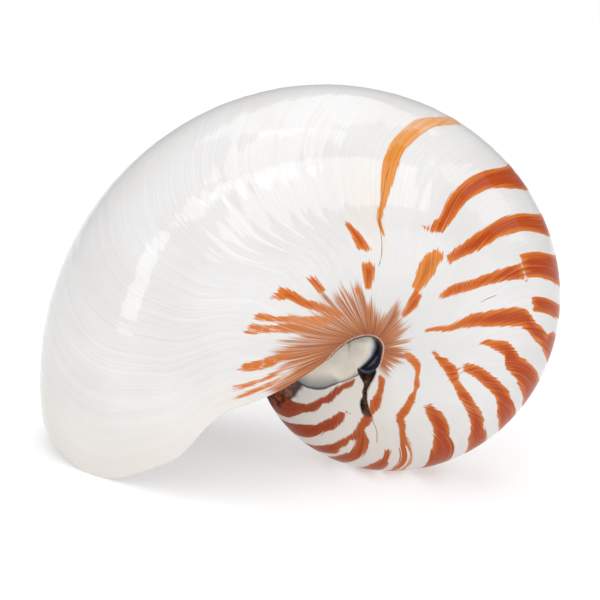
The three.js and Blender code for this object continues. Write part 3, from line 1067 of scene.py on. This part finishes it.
def paint_cracks(m, paint):
    cracked = (m.crack + (m.grain - 0.5) * 0.3).range(0.18, 0.06) * m.crack_distance.range(1.6, 0.9)
    cracked = cracked * (m.streak + m.cloud - 0.5).range(0.35, 0.6, to=(0.35, 0.8))
    return m.over(paint, cracked, CRACK_BROWN)


def shade_umbilical_wall(m, paint):
    start = m.growth.range(292.0, 304.0, to=(0.985, 1.03))
    shaded = (m.side - start).range(0.0, 0.03) * m.outside * m.growth.between(250.0, 262.0)
    return m.over(paint, shaded, WALL_SHADE)


print("the callus is cream from", [round(c, 2) for c in CREAM_WARM[:3]])

# %% [markdown]
# Mother-of-pearl is pale, and its hue drifts between rose and a cool green. Over the whole shell lies a
# clear glossy coat, which is thinner over the pigment, thinner still on the film and gone on the crust. The
# coat is almost smooth, so it draws the lights as sharp glints that the growth lines break up, while the
# wall under it is soft.

# %% Paint the skin
NACRE_ROSE, NACRE_GREEN, NACRE_LINES = colour(240, 226, 220), colour(222, 232, 232), colour(236, 222, 232)
FINE_RELIEF = 0.25 * MM      # height of the finest lines, which are too small for the mesh
FINE_RELIEF_SHARE = 0.35


def shader_of(material):
    tree = material.node_tree
    return tree, next(made for made in tree.nodes if made.type == "BSDF_PRINCIPLED")


def set_values(shader, **values):
    for name, value in values.items():
        shader.inputs[name.replace("_", " ")].default_value = value


def paint_nacre(m):
    """Mother-of-pearl."""
    sheen = noise(m.tree, m.body, 18.0, 3.0, 0.5, 1.5)
    nacre = mix(m.tree, sheen.between(0.3, 0.7), NACRE_ROSE, NACRE_GREEN)
    return m.over(nacre, m.fine.between(0.4, 0.7) * 0.3, NACRE_LINES)


def fine_relief(m, crusted):
    lines = (m.fine - 0.5) * 0.5 + (m.hair - 0.5) * 0.5 + (m.streak - 0.5) * 0.6
    height = lines + crusted * (m.grain - 0.5) * 4.0
    inputs = {"Strength": FINE_RELIEF_SHARE, "Distance": FINE_RELIEF, "Height": height}
    return node(m.tree, "ShaderNodeBump", None, inputs)


def paint_shell(material):
    tree, shader = shader_of(material)
    m = Marks(tree)
    cover, rust = paint_stripes(m)
    fan, brown = paint_fan(m)
    paint = m.over(paint_wall(m), fan * 0.97, brown)
    paint = m.over(paint, cover * (1.0 - fan * 0.35), rust)
    paint = m.over(paint, pale_rim(m) * 0.7, RIM_PALE)
    # the dark film under the lip, partly painted shade
    film_and_shade, film_and_shade_colour = paint_film_and_shade(m)
    paint = m.over(paint, film_and_shade * 0.93, film_and_shade_colour)
    paint, crusted = paint_crust(m, paint_callus_sheet(m, paint))
    paint = shade_umbilical_wall(m, paint_cracks(m, paint))
    inside = m.lining.between(0.35, 0.65)
    rough = 0.26 + m.fine * 0.12 + cover * 0.04 + crusted * 0.4 + film_and_shade * 0.2 - inside * 0.1
    coat = (1.0 - crusted) * (1.0 - cover.at_least(fan) * 0.65) * (1.0 - film_and_shade * 0.8) * 0.85
    plug(tree, shader.inputs["Base Color"], m.over(paint, inside, paint_nacre(m)))
    plug(tree, shader.inputs["Roughness"], rough)
    plug(tree, shader.inputs["Coat Weight"], coat)
    plug(tree, shader.inputs["Normal"], fine_relief(m, crusted))
    set_values(shader, IOR=1.22, Coat_Roughness=0.05)
    print("the shell's paint has", len(tree.nodes), "nodes")


paint_shell(pearl)

# %% Paint the calluses
# painted shade in the cleft, nearly black where the shell's black layer adds to it
CLEFT_SHADE_GREY, CLEFT_SHADE_AND_BLACK = colour(124, 130, 142), colour(34, 38, 50)


def paint_callus(material):
    """Cream, turning grey and then nearly black down in the cleft: mostly painted shade, with some of the
    shell's black layer.
    """
    tree, shader = shader_of(material)
    body = body_place(tree)
    depth = attribute(tree, "cleft") + (noise(tree, body, 220.0) - 0.5) * 1.4
    paint = mix(tree, depth.between(-0.8, 1.6), callus_colour(tree, body), CLEFT_SHADE_GREY)
    paint = mix(tree, depth.between(0.9, 2.5), paint, CLEFT_SHADE_AND_BLACK)
    plug(tree, shader.inputs["Base Color"], paint)
    set_values(shader, Roughness=0.3, IOR=1.5, Coat_Weight=0.3, Coat_Roughness=0.12)
    print("the callus's paint has", len(tree.nodes), "nodes")


paint_callus(cream)

# %% [markdown]
# ## Riding on the frame
# The skin stands for the CAD node, and both pieces move with the only body there is.

# %% Hand the pieces to the frame
for piece in (shell, callus_pair):
    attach(piece, "root")
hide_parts("nautilus_shell")
print("the skin stands for the CAD shell, and the calluses go with it")

# %% [markdown]
# ## Camera
# The shell is seen from its side, from a little above, with a long lens from a metre away. The angles are
# told against the coil, which is pitched on the floor, so the pitch is put on last. The lens points a
# little to the left of the coiling axis and above it, so that the shell sits in the frame without any
# shift.

# %% Camera
DISTANCE = 1.0
ELEVATION = math.radians(18.0)
AZIMUTH = math.radians(-1.6)
SENSOR = 36.0                # millimetres, as the lens is
LENS = 183.0
AIM_LEFT = 0.022131          # metres past the axis, for each metre of distance
AIM_UP = 0.010164

across = Vector((math.cos(AZIMUTH), math.sin(AZIMUTH), 0.0))
ahead = Vector((-math.cos(ELEVATION) * math.sin(AZIMUTH), math.cos(ELEVATION) * math.cos(AZIMUTH),
                -math.sin(ELEVATION)))
upward = across.cross(ahead)
pitch = Matrix.Rotation(PITCH, 3, "Y")
eye = AXIS - pitch @ (ahead * DISTANCE)
sight = (ahead - across * AIM_LEFT + upward * AIM_UP).normalized()
right = sight.cross(upward).normalized()
top = right.cross(sight)
turn = pitch @ Matrix((right, top, -sight)).transposed()

camera_data = bpy.data.cameras.new("camera")
camera_data.sensor_width = SENSOR
camera_data.lens = LENS
camera_data.clip_start = 0.05
camera = bpy.data.objects.new("camera", camera_data)
camera.matrix_world = Matrix.Translation(eye) @ turn.to_4x4()
bpy.context.collection.objects.link(camera)
bpy.context.scene.camera = camera
print("the camera stands at", [round(c, 3) for c in eye], "with a lens of", round(camera_data.lens), "mm")

# %% [markdown]
# ## Floor
# A plain white sheet lies at the lowest point of the shell. It glows a little, which keeps the background
# clean and the shadow soft.

# %% Floor
FLOOR_REACH = 6.0


def paint_floor():
    material = new_material("floor_white")
    shader = shader_of(material)[1]
    white = (1.0, 1.0, 1.0, 1.0)
    shader.inputs["Base Color"].default_value = (0.6, 0.6, 0.6, 1.0)
    shader.inputs["Emission Color"].default_value = white
    set_values(shader, Emission_Strength=0.45, Roughness=0.7)
    return material


floor_height = min(corner[2] for corner in shell.bound_box)
corners = [(x * FLOOR_REACH, y * FLOOR_REACH, floor_height) for x, y in ((-1, -1), (1, -1), (1, 1), (-1, 1))]
floor_mesh = bpy.data.meshes.new("floor")
floor_mesh.from_pydata(corners, [], [(0, 1, 2, 3)])
floor_mesh.materials.append(paint_floor())
floor = bpy.data.objects.new("floor", floor_mesh)
bpy.context.collection.objects.link(floor)
print("the floor lies at", round(floor_height / MM, 2), "mm")

# %% [markdown]
# ## Light
# Two large lights in front and one overhead fill the shell softly, and a weaker one lights its right. The
# glints come from three smaller ones: an upright softbox on the left draws the long glint down the
# shoulder, a flat strip high on the left carries it on along the top, and a small one closes the corner
# between them. The sky adds a pale grey.

# %% Light
LOW_TARGET, BACK_TARGET = (0, 0, 0.06), (0, 0.1, 0)
LEFT_TARGET, HIGH_TARGET = (-0.02, 0, 0.06), (-0.02, 0, 0.1)
# each light: name, place, what it points at, width, height, power in watts
LIGHTS = [
    ("front_fill", (0.15, -1.7, 0.9), LOW_TARGET, 1.6, 1.0, 11.0),
    ("front_top", (-0.45, -1.0, 1.5), LOW_TARGET, 1.0, 1.0, 5.8),
    ("left_softbox", (-1.22, -1.2, 0.33), LEFT_TARGET, 0.3, 0.64, 1.8),
    ("left_corner", (-0.87, -1.17, 0.78), HIGH_TARGET, 0.4, 0.26, 0.75),
    ("right_fill", (1.4, -0.7, 0.85), LOW_TARGET, 1.0, 1.0, 5.0),
    ("high_strip", (-0.40, -1.26, 0.92), HIGH_TARGET, 0.8, 0.2, 1.2),
    ("overhead", (-0.15, 0.3, 2.1), BACK_TARGET, 2.4, 2.0, 24.0),
]
SKY = 0.39


def soft_light(name, place, target, width, height, power):
    data = bpy.data.lights.new(name, "AREA")
    data.shape = "RECTANGLE"
    data.size = width
    data.size_y = height
    data.energy = power
    light = bpy.data.objects.new(name, data)
    light.location = place
    light.rotation_euler = (Vector(target) - Vector(place)).to_track_quat("-Z", "Y").to_euler()
    bpy.context.collection.objects.link(light)


for lamp in LIGHTS:
    soft_light(*lamp)
world = bpy.data.worlds.new("sky")
world.use_nodes = True
world.node_tree.nodes["Background"].inputs["Color"].default_value = (1.0, 1.0, 1.0, 1.0)
world.node_tree.nodes["Background"].inputs["Strength"].default_value = SKY
bpy.context.scene.world = world
bpy.context.scene.view_settings.view_transform = "Standard"
print(len(LIGHTS), "lights and the sky are in place")
